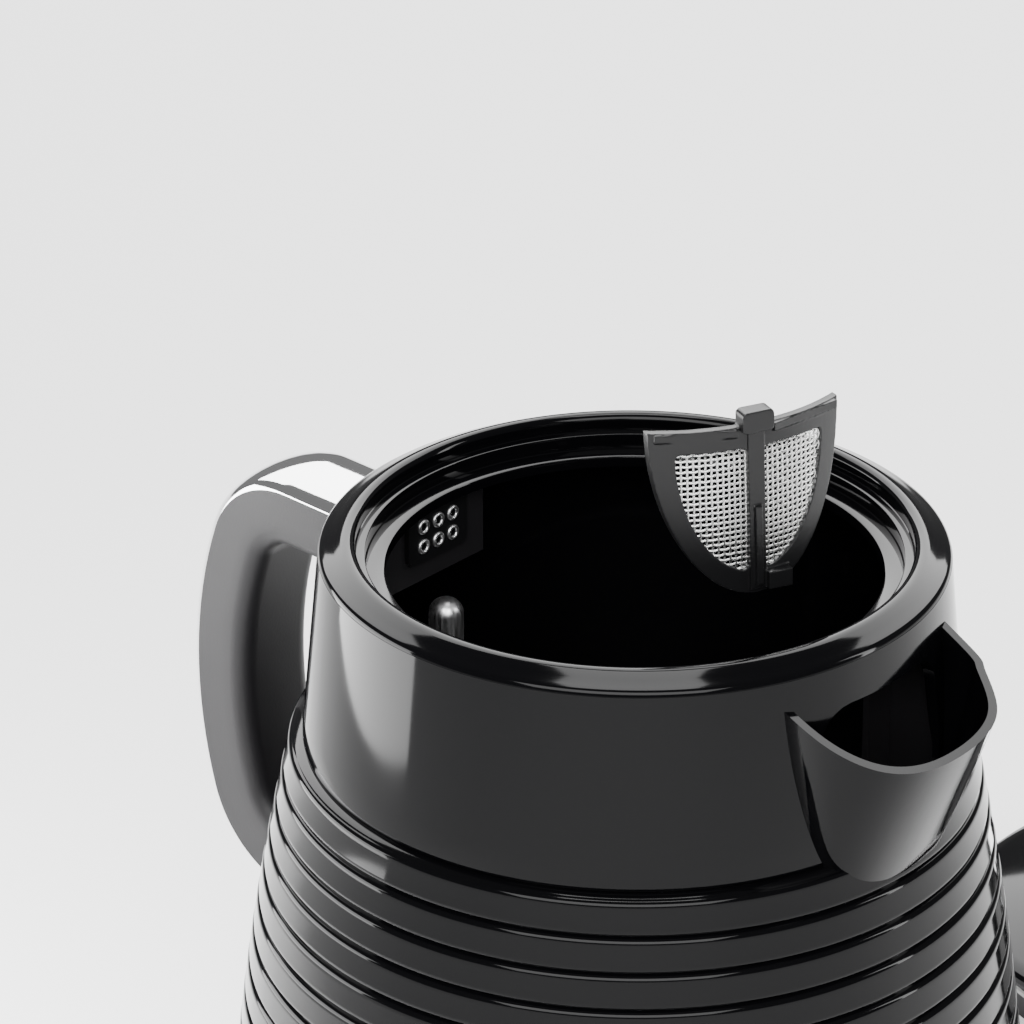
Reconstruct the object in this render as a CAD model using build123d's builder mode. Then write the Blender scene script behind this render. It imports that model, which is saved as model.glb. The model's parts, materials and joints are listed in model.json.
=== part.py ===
from build123d import *
import math
import os

# Cordless electric kettle: a ribbed body with a spout and a loop handle, a round power base,
# a mesh filter that lifts out of the mouth, and a pull-off lid that lies beside the base.
# Millimetres. +Z is up, the spout points along +X, the handle along -X.
# The origin is the middle of the power base's underside, on the table.

os.makedirs("parts", exist_ok=True)

# ---- driving dimensions --------------------------------------------------------------------

# power base
base_radius = 80.0
base_height = 22.0
base_wall = 2.4
base_edge_round = 5.0
base_plate_thickness = 2.0
foot_thickness = 1.6
foot_radius = 6.5
foot_circle_radius = 62.0
foot_count = 4
base_screw_circle_radius = 50.0
base_screw_count = 3
screw_radius = 1.6
screw_head_radius = 3.0
screw_head_height = 1.8
screw_head_sink = 0.6
screw_boss_radius = 4.0
centre_foot_radius = 24.0
cord_gland_radius = 5.5
cord_gland_bore = 3.4
cord_gland_length = 10.0
cord_gland_z = 11.0
base_screw_length = 11.0
base_fit = 0.2
base_skirt_height = 6.0
base_shoulder_run = 4.0
foot_chamfer = 0.4
gland_proud = 1.5
gland_flange = 1.2
gland_flange_thickness = 1.4

# round connector between base and kettle
socket_radius = 17.0
socket_height = 13.0
socket_wall = 2.2
socket_flange_radius = 21.0
contact_pin_radius = 3.0
contact_ring_radius = 9.0
contact_thickness = 0.9
contact_sink = 2.0
socket_edge_round = 1.5
pin_contact_radius = 2.5
connector_gap = 0.6
connector_wall = 3.0

# kettle body
seat_gap = 0.3
body_height = 165.0
rim_radius = 62.0
band_height = 41.0
band_foot_radius = 65.8
rib_top_radius = 68.2
body_foot_radius = 83.2
body_bulge = 0.85
body_wall = 2.4
rib_pitch = 7.2
rib_groove = 1.0
rib_shoulder = 1.7
rib_edge_set_in = 0.1
spout_window_round = 8.0
foot_bevel = 1.4

# collar around the mouth
collar_lap = 0.9
collar_edge_run = 1.4
collar_edge_rise = 0.6
collar_slope_run = 4.4
collar_bead_drop = 1.2
collar_crown_height = 2.4
collar_ledge_radius = 54.7
collar_step_radius = 52.8
mouth_radius = 48.9
collar_ledge_depth = 1.0
collar_shelf_depth = 4.2
collar_depth = 6.5
collar_fit = 0.1

# spout
spout_root_x = 57.3
spout_half_width = 24.8
spout_foot_half_width = 17.0
spout_tip_x = 80.4
spout_tip_lean = 0.387
spout_wall = 1.8
spout_squareness = 2.43
lip_drop = 6.6
lip_slope = 0.5
spout_depth = 48.0
spout_window_half_width = 18.0
spout_window_top = 9.0
spout_window_bottom = 36.0

# handle
handle_half_width = 10.5
handle_band_thickness = 3.2
handle_grip_thickness = 13.0
handle_root_x = -58.0
handle_root_drop = 10.3
handle_top_direction = 178.0
handle_top_length = 26.5
handle_shoulder_radius = 23.7
handle_shoulder_turn = 72.0
handle_back_radius = 102.8
handle_back_turn = 36.3
handle_heel_radius = 28.0
handle_heel_turn = 47.7
handle_foot_length = 24.0
handle_edge_round = 2.4
handle_screw_radius = 2.0
handle_screw_length = 12.0
handle_screw_drops = (17.5, 101.0)
handle_screw_gap = 1.2
handle_screw_head_radius = 3.8
handle_screw_head_taper = 14.0

# inside the kettle
plate_height = 25.4
plate_thickness = 1.2
plate_fit = 0.1
seal_thickness = 1.2
seal_height = 4.0
element_radius = 46.0
element_tube_radius = 3.3
element_sweep = 300.0
cover_height = 1.8
cover_thickness = 2.2
cover_fit = 0.3
cover_screw_circle_radius = 58.0
cover_screw_count = 3
cover_screw_length = 12.0
control_width = 50.0
control_depth = 40.0
control_corner = 4.0
control_chamfer = 0.8
connector_edge_round = 1.0
seal_lap = 2.0
steam_tube_x = -49.8
steam_tube_radius = 3.6
steam_tube_wall = 0.5
steam_tube_top_drop = 28.5
steam_tube_foot = 6.0
steam_slot_width = 2.4
steam_slot_height = 7.0
steam_slot_round = 1.0
vent_face_x = -53.0
vent_half_width = 15.0
vent_top_drop = 7.0
vent_bottom_drop = 24.0
vent_middle_drop = 13.5
vent_wall = 1.5
vent_plate_thickness = 1.2
vent_hole_radius = 1.1
vent_hole_pitch = 4.4
vent_columns = 3
vent_rows = 2
vent_plate_width = 17.6
vent_plate_height = 11.4
vent_plate_round = 1.5

# switch at the handle's foot
switch_pivot_x = -73.0
switch_height = 13.0
switch_pin_radius = 1.5
switch_pin_fit = 0.05
switch_lever_reach = 95.5
switch_lever_half_width = 8.0
switch_lever_thickness = 4.0
switch_slot_half_width = 9.2
switch_slot_half_height = 5.6
switch_slot_round = 2.0
switch_side_gap = 0.5
switch_ear_thickness = 2.2
lamp_radius = 3.0
lamp_proud = 0.6
lamp_edge_round = 1.0
paddle_length = 8.0
paddle_extra = 1.6
paddle_round = 1.8
paddle_corner = 1.2
bracket_length = 16.0
bracket_floor = 1.6
lamp_rise = 14.0

# filter
filter_half_width = 20.0
filter_height = 35.1
filter_bow_radius = 39.0
filter_thickness = 1.8
filter_border = 4.6
filter_bar_width = 3.4
filter_bar_thickness = 3.0
filter_window_round = 1.2
filter_lean = 2.6
filter_turn = 25.4
filter_lifted_x = 29.7
filter_lifted_rise = 17.9
filter_seat_x = 44.0
filter_seat_drop = 24.0
filter_mesh_thickness = 0.6
spine_radius = 0.6
spine_fit = 0.05
spine_length = 27.0
spine_end_wall = 1.0
spine_end_gap = 0.3
thumb_tab_width = 6.6
thumb_tab_rise = 3.4
thumb_tab_reach = 3.6
thumb_tab_overlap = 0.5
thumb_tab_round = 1.0
clip_side = 4.2
clip_rise = 2.6
clip_width = 5.0
clip_height = 3.6
clip_reach = 2.6
cradle_gap = 0.9
cradle_wall = 1.5
cradle_side_gap = 1.6
cradle_opening_half = 15.0

# lid, lying beside the base
lid_park_y = 206.0
lid_fit = 0.6
lid_plug_height = 11.0
lid_wall = 2.0
lid_flange_thickness = 2.6
lid_cover_thickness = 2.4
lid_knob_seat = 1.0
lid_seal_depth = 1.2
lid_crown = 4.5
lid_knob_radius = 14.0
lid_knob_waist = 9.0
lid_knob_height = 17.0
lid_seal_thickness = 1.6
lid_seal_fit = 0.15
lid_seal_chamfer = 0.4
lid_edge_bevel = 1.2
lid_knob_edge = 1.5
lid_screw_end_gap = 1.0
lid_fixing_screw_radius = 2.0

# ---- heights and radii worked out from them ------------------------------------------------

foot_z = base_height + seat_gap
rim_z = foot_z + body_height
groove_z = rim_z - band_height
rib_count = int((body_height - band_height - foot_bevel) / rib_pitch)
plate_z = foot_z + plate_height
cover_z = foot_z + cover_height
base_plate_z = foot_thickness
socket_top_z = base_height + socket_height
connector_radius = socket_radius + connector_gap
switch_z = foot_z + switch_height
lamp_z = switch_z + lamp_rise


def body_radius(z):
    """Outer radius of the kettle over the rib tops at height z."""
    depth = rim_z - z
    if depth <= band_height:
        return rim_radius + (band_foot_radius - rim_radius) * depth / band_height
    share = (depth - band_height) / (body_height - band_height)
    return rib_top_radius + (body_foot_radius - rib_top_radius) * share * (1 + body_bulge * (1 - share))


def inner_radius(z):
    """Inner radius of the kettle wall at height z."""
    return body_radius(z) - rib_groove - body_wall


def write(piece, name):
    """Label a finished piece and write it under its node's name."""
    piece.label = name
    export_step(piece, f"parts/{name}.step")


# ---- kettle body: outside blank, cavity, then the shell ------------------------------------

body_top_z = rim_z - collar_lap
plug_radius = inner_radius(rim_z - collar_depth)

with BuildPart() as body_blank:
    with BuildSketch(Plane.XZ):
        with BuildLine():
            first_groove = (band_foot_radius - rib_groove, groove_z)
            Line((0, body_top_z), (body_radius(body_top_z), body_top_z))
            Line((body_radius(body_top_z), body_top_z), (band_foot_radius, groove_z + rib_shoulder / 2))
            Line((band_foot_radius, groove_z + rib_shoulder / 2), first_groove)
            groove = first_groove
            for rib in range(rib_count):
                rib_z = groove_z - rib * rib_pitch
                shoulder = (body_radius(rib_z - rib_shoulder), rib_z - rib_shoulder)
                bulge = (groove[0] + 0.74 * (shoulder[0] - groove[0]), rib_z - 0.3 * rib_shoulder)
                ThreePointArc(groove, bulge, shoulder)
                if rib < rib_count - 1:
                    next_z = rib_z - rib_pitch
                    edge = (body_radius(next_z) - rib_edge_set_in, next_z + rib_shoulder / 2)
                    groove = (body_radius(next_z) - rib_groove, next_z)
                    Line(shoulder, edge)
                    Line(edge, groove)
                else:
                    edge = (body_foot_radius, foot_z + foot_bevel)
                    Line(shoulder, edge)
                    Line(edge, (body_foot_radius - foot_bevel, foot_z))
                    Line((body_foot_radius - foot_bevel, foot_z), (0, foot_z))
            Line((0, foot_z), (0, body_top_z))
        make_face()
    revolve(axis=Axis.Z)

wall_depths = (collar_depth, 30.0, 55.0, 80.0, 110.0, 140.0)
wall_points = [(inner_radius(rim_z - depth), rim_z - depth) for depth in wall_depths]
wall_points.append((inner_radius(foot_z), foot_z - 1.0))

with BuildPart() as cavity:
    with BuildSketch(Plane.XZ):
        with BuildLine():
            Line((0, rim_z), (plug_radius, rim_z))
            Line((plug_radius, rim_z), wall_points[0])
            Spline(*wall_points)
            Line(wall_points[-1], (0, foot_z - 1.0))
            Line((0, foot_z - 1.0), (0, rim_z))
        make_face()
    revolve(axis=Axis.Z)

with BuildPart() as body_shell:
    add(body_blank.part)
    add(cavity.part, mode=Mode.SUBTRACT)
    window_height = spout_window_bottom - spout_window_top
    with BuildSketch(Plane.YZ.offset(spout_root_x - 20)):
        with Locations((0, rim_z - spout_window_top - window_height / 2)):
            RectangleRounded(2 * spout_window_half_width, window_height, spout_window_round)
    extrude(amount=40, mode=Mode.SUBTRACT)
    with BuildSketch(Plane.YZ.offset(-body_foot_radius - 5)):
        with Locations((0, switch_z)):
            RectangleRounded(2 * switch_slot_half_width, 2 * switch_slot_half_height, switch_slot_round)
        with Locations((0, lamp_z)):
            Circle(lamp_radius)
    extrude(amount=20, mode=Mode.SUBTRACT)

# ---- collar ring ---------------------------------------------------------------------------

with BuildPart() as collar_ring:
    with BuildSketch(Plane.XZ):
        with BuildLine():
            low_z = rim_z - collar_lap
            fit_radius = plug_radius - collar_fit
            Line((fit_radius, low_z), (rim_radius, low_z))
            edge_end = (rim_radius - collar_edge_run, rim_z + collar_edge_rise)
            edge_middle = (rim_radius - collar_edge_run / 4, rim_z + collar_edge_rise / 6)
            ThreePointArc((rim_radius, low_z), edge_middle, edge_end)
            crown = (rim_radius - collar_slope_run, rim_z + collar_crown_height - 0.2)
            Line(edge_end, crown)
            inner_edge = (collar_ledge_radius, rim_z + collar_crown_height - collar_bead_drop)
            bead_top = (collar_ledge_radius + collar_bead_drop, rim_z + collar_crown_height)
            ThreePointArc(crown, bead_top, inner_edge)
            Polyline(
                inner_edge,
                (collar_ledge_radius, rim_z - collar_ledge_depth),
                (collar_step_radius, rim_z - collar_ledge_depth),
                (collar_step_radius, rim_z - collar_shelf_depth),
                (mouth_radius, rim_z - collar_shelf_depth),
                (mouth_radius, rim_z - collar_depth),
                (fit_radius, rim_z - collar_depth),
                (fit_radius, low_z),
            )
        make_face()
    revolve(axis=Axis.Z)
write(collar_ring.part, "collar_ring")

# ---- spout: a lofted beak, open on top and towards the body --------------------------------


def nose_points(height, inset):
    """Points around the beak's nose at a height, from one side to the other, set in by a wall."""
    depth = rim_z - height
    tip_depth = lip_drop + lip_slope * (spout_tip_x - spout_root_x)
    tip = spout_tip_x + spout_tip_lean * (tip_depth - depth) - inset
    share = max(0.0, depth / spout_depth)
    half = spout_half_width - (spout_half_width - spout_foot_half_width) * share ** 2.2 - inset
    power = 2 / spout_squareness
    points = [(spout_root_x, -half)]
    for angle in (-67.5, -45, -22.5, 0, 22.5, 45, 67.5):
        turn = math.radians(angle)
        reach = (tip - spout_root_x) * math.cos(turn) ** power
        points.append((spout_root_x + reach, math.copysign(half * abs(math.sin(turn)) ** power, angle)))
    points.append((spout_root_x, half))
    return points


def beak(inset):
    """The beak's loft, set in by a wall."""
    levels = (rim_z + 6.0, rim_z - 12.0, rim_z - 26.0, rim_z - 38.0, rim_z - spout_depth - 4.0)
    with BuildPart() as solid:
        for level in levels:
            nose = nose_points(level, inset)
            back = spout_root_x - 12.0
            with BuildSketch(Plane.XY.offset(level)):
                with BuildLine():
                    Spline(*nose, tangents=[(1, 0), (-1, 0)])
                    Polyline(nose[-1], (back, nose[-1][1]), (back, nose[0][1]), nose[0])
                make_face()
        loft()
    return solid.part


lip_turn = math.atan(lip_slope)
lip_plane = Plane(
    origin=(spout_root_x, 0, rim_z - lip_drop),
    x_dir=(math.cos(lip_turn), 0, -math.sin(lip_turn)),
    z_dir=(math.sin(lip_turn), 0, math.cos(lip_turn)),
)
beak_outside = beak(0.0)
beak_hollow = beak(spout_wall)

with BuildPart() as spout:
    add(beak_outside)
    add(beak_hollow, mode=Mode.SUBTRACT)
    add(body_blank.part, mode=Mode.SUBTRACT)
    with BuildSketch(lip_plane):
        Rectangle(300, 300)
    extrude(amount=60, mode=Mode.SUBTRACT)
beak_piece = spout.part.solids().sort_by(SortBy.VOLUME)[-1]
write(beak_piece, "spout")

# ---- handle: a side outline of tangent lines and arcs, drawn at any inset --------------------


def handle_line(inset):
    """The handle's side outline in the XZ plane, moved inwards by an inset."""
    inward = math.radians(handle_top_direction + 90)
    start = (
        handle_root_x + inset * math.cos(inward),
        rim_z - handle_root_drop + inset * math.sin(inward),
    )
    with BuildLine(Plane.XZ) as outline:
        top_arm = PolarLine(start, handle_top_length, handle_top_direction)
        shoulder = JernArc(top_arm @ 1, top_arm % 1, handle_shoulder_radius - inset, handle_shoulder_turn)
        back = JernArc(shoulder @ 1, shoulder % 1, handle_back_radius - inset, handle_back_turn)
        heel = JernArc(back @ 1, back % 1, handle_heel_radius - inset, handle_heel_turn)
        foot_direction = handle_top_direction + handle_shoulder_turn + handle_back_turn + handle_heel_turn
        PolarLine(heel @ 1, handle_foot_length, foot_direction)
    return outline.line


def handle_slab(outer, inner, rounded, edge_radius):
    """A slab across the handle's width between two insets, with rounded edges on some of them."""
    lines = {outer: handle_line(outer), inner: handle_line(inner)}
    with BuildPart() as slab:
        with BuildSketch(Plane.XZ):
            with BuildLine():
                add(Plane.XZ.to_local_coords(lines[outer]))
                add(Plane.XZ.to_local_coords(lines[inner]))
                Line(
                    Plane.XZ.to_local_coords(lines[outer] @ 0),
                    Plane.XZ.to_local_coords(lines[inner] @ 0),
                )
                Line(
                    Plane.XZ.to_local_coords(lines[outer] @ 1),
                    Plane.XZ.to_local_coords(lines[inner] @ 1),
                )
            make_face()
        extrude(amount=handle_half_width, both=True)
        for inset in rounded:
            long_edges = slab.edges().filter_by(
                lambda edge: lines[inset].distance_to(Vertex((edge @ 0.5).X, 0, (edge @ 0.5).Z)) < 0.01
            )
            fillet(long_edges.filter_by(Axis.Y, reverse=True), edge_radius)
    return slab.part


grip_depth = handle_band_thickness + handle_grip_thickness

with BuildPart() as handle_band:
    add(handle_slab(0.0, handle_band_thickness, [0.0], handle_edge_round))
    add(body_blank.part, mode=Mode.SUBTRACT)
band_piece = handle_band.part.solids().sort_by(SortBy.VOLUME)[-1]
write(band_piece, "handle_band")

with BuildPart() as handle_grip:
    add(handle_slab(handle_band_thickness, grip_depth, [grip_depth], handle_edge_round))
    add(body_blank.part, mode=Mode.SUBTRACT)
grip_piece = handle_grip.part.solids().sort_by(SortBy.VOLUME)[-1]

# ---- screws that hold the handle on from inside the wall -------------------------------------

with BuildPart() as handle_screws:
    for drop in handle_screw_drops:
        wall_x = -inner_radius(rim_z - drop) + handle_screw_gap
        with BuildSketch(Plane(origin=(wall_x, 0, rim_z - drop), x_dir=(0, 1, 0), z_dir=(-1, 0, 0))):
            Circle(handle_screw_radius)
        extrude(amount=handle_screw_length)
        with BuildSketch(Plane(origin=(wall_x, 0, rim_z - drop), x_dir=(0, 1, 0), z_dir=(1, 0, 0))):
            Circle(handle_screw_head_radius)
        extrude(amount=handle_screw_radius, taper=handle_screw_head_taper)
write(handle_screws.part, "handle_screws")


def drilled_for_screws(piece):
    """A copy of a piece with the handle screws' bores."""
    with BuildPart() as drilled:
        add(piece)
        for drop in handle_screw_drops:
            bore_x = -inner_radius(rim_z - drop) + handle_screw_radius
            with BuildSketch(Plane(origin=(bore_x, 0, rim_z - drop), x_dir=(0, 1, 0), z_dir=(-1, 0, 0))):
                Circle(handle_screw_radius)
            extrude(amount=handle_screw_length + handle_screw_radius, mode=Mode.SUBTRACT)
    return drilled.part


write(drilled_for_screws(grip_piece), "handle_grip")
write(drilled_for_screws(body_shell.part), "body_shell")

# ---- steam path on the handle side -----------------------------------------------------------

with BuildPart() as steam_hood:
    with BuildSketch(Plane.YZ.offset(vent_face_x)):
        with Locations((0, rim_z - (vent_top_drop + vent_bottom_drop) / 2)):
            Rectangle(2 * vent_half_width, vent_bottom_drop - vent_top_drop)
    extrude(amount=-20)
    with BuildSketch(Plane.YZ.offset(vent_face_x - vent_wall)):
        with Locations((0, rim_z - (vent_top_drop + vent_bottom_drop) / 2)):
            Rectangle(2 * (vent_half_width - vent_wall), vent_bottom_drop - vent_top_drop - 2 * vent_wall)
    extrude(amount=-20, mode=Mode.SUBTRACT)
    with BuildSketch(Plane.YZ.offset(vent_face_x)):
        with Locations((0, rim_z - vent_middle_drop)):
            with GridLocations(vent_hole_pitch, vent_hole_pitch, vent_columns, vent_rows):
                Circle(vent_hole_radius)
    extrude(amount=-vent_wall, mode=Mode.SUBTRACT)
    add(cavity.part, mode=Mode.INTERSECT)
write(steam_hood.part, "steam_hood")

with BuildPart() as steam_vent_plate:
    with BuildSketch(Plane.YZ.offset(vent_face_x)):
        with Locations((0, rim_z - vent_middle_drop)):
            RectangleRounded(vent_plate_width, vent_plate_height, vent_plate_round)
            with GridLocations(vent_hole_pitch, vent_hole_pitch, vent_columns, vent_rows):
                Circle(vent_hole_radius, mode=Mode.SUBTRACT)
    extrude(amount=vent_plate_thickness)
write(steam_vent_plate.part, "steam_vent_plate")

tube_top_z = rim_z - steam_tube_top_drop
with BuildPart() as steam_tube:
    tube_plane = Plane.XY.offset(plate_z - steam_tube_foot)
    with BuildSketch(tube_plane):
        with Locations((steam_tube_x, 0)):
            Circle(steam_tube_radius)
    extrude(amount=tube_top_z - plate_z + steam_tube_foot)
    top_edge = steam_tube.faces().sort_by(Axis.Z)[-1].edges()
    fillet(top_edge, steam_tube_radius - 0.4)
    with BuildSketch(tube_plane):
        with Locations((steam_tube_x, 0)):
            Circle(steam_tube_radius - steam_tube_wall)
    extrude(amount=tube_top_z - plate_z + steam_tube_foot - steam_tube_radius, mode=Mode.SUBTRACT)
    with BuildSketch(Plane.YZ.offset(steam_tube_x)):
        with Locations((0, tube_top_z - 3.2 * steam_tube_radius)):
            RectangleRounded(steam_slot_width, steam_slot_height, steam_slot_round)
    extrude(amount=-2 * steam_tube_radius, mode=Mode.SUBTRACT)
write(steam_tube.part, "steam_tube")

# ---- heating plate, its seal and tube --------------------------------------------------------

plate_radius = inner_radius(plate_z) - seal_thickness - plate_fit

with BuildPart() as element_plate:
    with BuildSketch(Plane.XY.offset(plate_z)):
        Circle(plate_radius)
        with Locations((steam_tube_x, 0)):
            Circle(steam_tube_radius, mode=Mode.SUBTRACT)
    extrude(amount=plate_thickness)
write(element_plate.part, "element_plate")

with BuildPart() as element_seal:
    with BuildSketch(Plane.XY.offset(plate_z - seal_height / 2)):
        Circle(inner_radius(plate_z + seal_height) - plate_fit)
        Circle(plate_radius - seal_lap, mode=Mode.SUBTRACT)
    extrude(amount=seal_height)
    with BuildSketch(Plane.XY.offset(plate_z)):
        Circle(plate_radius)
    extrude(amount=plate_thickness, mode=Mode.SUBTRACT)
write(element_seal.part, "element_seal")

with BuildPart() as heating_element:
    tube_z = plate_z - element_tube_radius
    with BuildSketch(Plane(origin=(element_radius, 0, tube_z), x_dir=(1, 0, 0), z_dir=(0, 1, 0))):
        Circle(element_tube_radius)
    revolve(axis=Axis((0, 0, 0), (0, 0, 1)), revolution_arc=element_sweep)
heater = heating_element.part.rotate(Axis.Z, 180 + (360 - element_sweep) / 2)
write(heater, "heating_element")

# ---- underside of the kettle -----------------------------------------------------------------

connector_outer = connector_radius + connector_wall
connector_top_z = socket_top_z + connector_gap + connector_wall

with BuildPart() as kettle_connector:
    with BuildSketch(Plane.XY.offset(cover_z)):
        Circle(connector_outer)
    extrude(amount=connector_top_z - cover_z)
    with BuildSketch(Plane.XY.offset(cover_z)):
        Circle(connector_radius)
    extrude(amount=connector_top_z - connector_wall - cover_z, mode=Mode.SUBTRACT)
    fillet(kettle_connector.faces().sort_by(Axis.Z)[-1].edges(), connector_edge_round)
write(kettle_connector.part, "kettle_connector")

with BuildPart() as thermostat_control:
    with BuildSketch(Plane.XY.offset(connector_top_z)):
        RectangleRounded(control_width, control_depth, control_corner)
    extrude(amount=plate_z - connector_top_z)
    chamfer(thermostat_control.faces().sort_by(Axis.Z)[-1].edges(), control_chamfer)
write(thermostat_control.part, "thermostat_control")

with BuildPart() as bottom_cover:
    with BuildSketch(Plane.XY.offset(cover_z)):
        Circle(inner_radius(cover_z) - cover_fit)
        Circle(connector_outer + plate_fit, mode=Mode.SUBTRACT)
        with PolarLocations(cover_screw_circle_radius, cover_screw_count, start_angle=60):
            Circle(screw_radius, mode=Mode.SUBTRACT)
    extrude(amount=cover_thickness)
write(bottom_cover.part, "bottom_cover")

with BuildPart() as bottom_screws:
    with BuildSketch(Plane.XY.offset(cover_z)):
        with PolarLocations(cover_screw_circle_radius, cover_screw_count, start_angle=60):
            Circle(screw_radius)
    extrude(amount=cover_screw_length)
    with BuildSketch(Plane.XY.offset(cover_z - screw_head_height + screw_head_sink)):
        with PolarLocations(cover_screw_circle_radius, cover_screw_count, start_angle=60):
            Circle(screw_head_radius)
    extrude(amount=screw_head_height - screw_head_sink)
write(bottom_screws.part, "bottom_screws")

# ---- switch ----------------------------------------------------------------------------------

bracket_base_z = cover_z + cover_thickness
ear_gap = switch_lever_half_width + switch_side_gap

with BuildPart() as switch_bracket:
    with BuildSketch(Plane.XY.offset(bracket_base_z)):
        with Locations((switch_pivot_x + bracket_length / 4, 0)):
            Rectangle(bracket_length, 2 * (ear_gap + switch_ear_thickness))
    extrude(amount=bracket_floor)
    with BuildSketch(Plane.XZ):
        with Locations((switch_pivot_x, switch_z)):
            Circle(2.4 * switch_pin_radius)
        with Locations((switch_pivot_x, (switch_z + bracket_base_z) / 2)):
            Rectangle(4.8 * switch_pin_radius, switch_z - bracket_base_z)
    extrude(amount=ear_gap + switch_ear_thickness, both=True)
    with BuildSketch(Plane.XZ):
        slot_floor_z = bracket_base_z + bracket_floor
        with Locations((switch_pivot_x, switch_z)):
            Rectangle(2 * bracket_length, 2 * (switch_z - slot_floor_z))
    extrude(amount=ear_gap, both=True, mode=Mode.SUBTRACT)
    with BuildSketch(Plane.XZ):
        with Locations((switch_pivot_x, switch_z)):
            Circle(switch_pin_radius)
    extrude(amount=ear_gap + 2 * switch_ear_thickness, both=True, mode=Mode.SUBTRACT)
write(switch_bracket.part, "switch_bracket")

with BuildPart() as switch_pin:
    with BuildSketch(Plane.XZ):
        with Locations((switch_pivot_x, switch_z)):
            Circle(switch_pin_radius)
    extrude(amount=ear_gap + switch_ear_thickness + 0.6, both=True)
write(switch_pin.part, "switch_pin")

with BuildPart() as switch_lever:
    with BuildSketch(Plane.XZ):
        with Locations((switch_pivot_x, switch_z)):
            Circle(2.2 * switch_pin_radius)
        with Locations(((switch_pivot_x - switch_lever_reach) / 2, switch_z)):
            Rectangle(switch_lever_reach + switch_pivot_x, switch_lever_thickness)
        with Locations((-switch_lever_reach + paddle_length / 2, switch_z - paddle_extra / 2)):
            RectangleRounded(paddle_length, switch_lever_thickness + paddle_extra, paddle_round)
        with Locations((switch_pivot_x, switch_z)):
            Circle(switch_pin_radius + switch_pin_fit, mode=Mode.SUBTRACT)
    extrude(amount=switch_lever_half_width, both=True)
    paddle_edges = switch_lever.edges().filter_by(Axis.Z).sort_by(Axis.X)[:2]
    fillet(paddle_edges, paddle_corner)
write(switch_lever.part, "switch_lever")

with BuildPart() as indicator_lamp:
    lamp_inner_x = -inner_radius(lamp_z)
    with BuildSketch(Plane(origin=(lamp_inner_x, 0, lamp_z), x_dir=(0, 1, 0), z_dir=(-1, 0, 0))):
        Circle(lamp_radius)
    extrude(amount=body_radius(lamp_z) + lamp_inner_x + lamp_proud)
    fillet(indicator_lamp.faces().sort_by(Axis.X)[0].edges(), lamp_edge_round)
write(indicator_lamp.part, "indicator_lamp")

# ---- filter, drawn in the place it is lifted to ----------------------------------------------

lean = math.radians(filter_lean)
turn = math.radians(filter_turn)
filter_up = Vector(-math.sin(lean), 0, math.cos(lean))
filter_out = Vector(math.cos(turn) * math.cos(lean), -math.sin(turn), math.cos(turn) * math.sin(lean))
filter_side = filter_up.cross(filter_out)
filter_centre = Vector(filter_lifted_x, 0, rim_z + filter_lifted_rise)
filter_face = Plane(origin=filter_centre, x_dir=filter_side, z_dir=filter_out)
filter_end = Plane(
    origin=filter_centre - filter_out * filter_bow_radius,
    x_dir=filter_side,
    z_dir=filter_up,
)
shield_top = filter_height / 2


def shield_outline(inset):
    """The filter's outline: a straight top over half an ellipse, set in by a border."""
    half = filter_half_width - inset
    with BuildSketch(Plane.XY) as outline:
        with BuildLine():
            EllipticalCenterArc(
                (0, shield_top - inset), half, filter_height - 2 * inset, start_angle=180, arc_size=180
            )
            Line((half, shield_top - inset), (-half, shield_top - inset))
        make_face()
    return outline.sketch


def bowed_layer(outline, inner, outer):
    """An outline pushed through a bowed sheet between two depths behind and before its middle."""
    with BuildPart() as layer:
        with BuildSketch(filter_face):
            add(outline)
        extrude(amount=filter_bow_radius / 2, both=True)
        with BuildSketch(filter_end):
            Circle(filter_bow_radius + outer)
            Circle(filter_bow_radius + inner, mode=Mode.SUBTRACT)
        extrude(amount=filter_height, both=True, mode=Mode.INTERSECT)
    return layer.part


def window_outline(side):
    """One of the two windows beside the centre bar."""
    with BuildSketch(Plane.XY) as window:
        add(shield_outline(filter_border))
        with Locations((side * (filter_half_width + filter_bar_width) / 2, 0)):
            Rectangle(filter_half_width, 2 * filter_height, mode=Mode.INTERSECT)
        fillet(window.vertices(), filter_window_round)
    return window.sketch


sheet_back = -filter_thickness / 2
sheet_front = filter_thickness / 2
mesh_back = -filter_mesh_thickness / 2
windows = {"left": window_outline(-1), "right": window_outline(1)}

with BuildPart() as filter_frame:
    add(bowed_layer(shield_outline(0.0), sheet_back, sheet_front))
    for outline in windows.values():
        with BuildSketch(filter_face):
            add(outline)
        extrude(amount=filter_bow_radius / 2, both=True, mode=Mode.SUBTRACT)
    with BuildSketch(filter_face.offset(-filter_bar_thickness / 2)):
        Rectangle(filter_bar_width, filter_height - 2 * spine_end_wall)
    extrude(amount=filter_bar_thickness)
    with BuildSketch(filter_face.offset(-filter_thickness / 2)):
        with Locations((0, shield_top + thumb_tab_rise / 2 - thumb_tab_overlap)):
            RectangleRounded(thumb_tab_width, thumb_tab_rise + 2 * thumb_tab_overlap, thumb_tab_round)
    extrude(amount=thumb_tab_reach)
    with BuildSketch(filter_face):
        with Locations((clip_side, -shield_top + clip_rise)):
            Rectangle(clip_width, clip_height)
    extrude(amount=clip_reach)
    with BuildSketch(filter_end.offset(-spine_length / 2)):
        with Locations((0, -filter_bow_radius)):
            Circle(spine_radius + spine_fit)
    extrude(amount=spine_length, mode=Mode.SUBTRACT)
write(filter_frame.part, "filter_frame")

with BuildPart() as filter_spine:
    with BuildSketch(filter_end.offset(-spine_length / 2 + spine_end_gap)):
        with Locations((0, -filter_bow_radius)):
            Circle(spine_radius)
    extrude(amount=spine_length - 2 * spine_end_gap)
write(filter_spine.part, "filter_spine")

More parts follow.
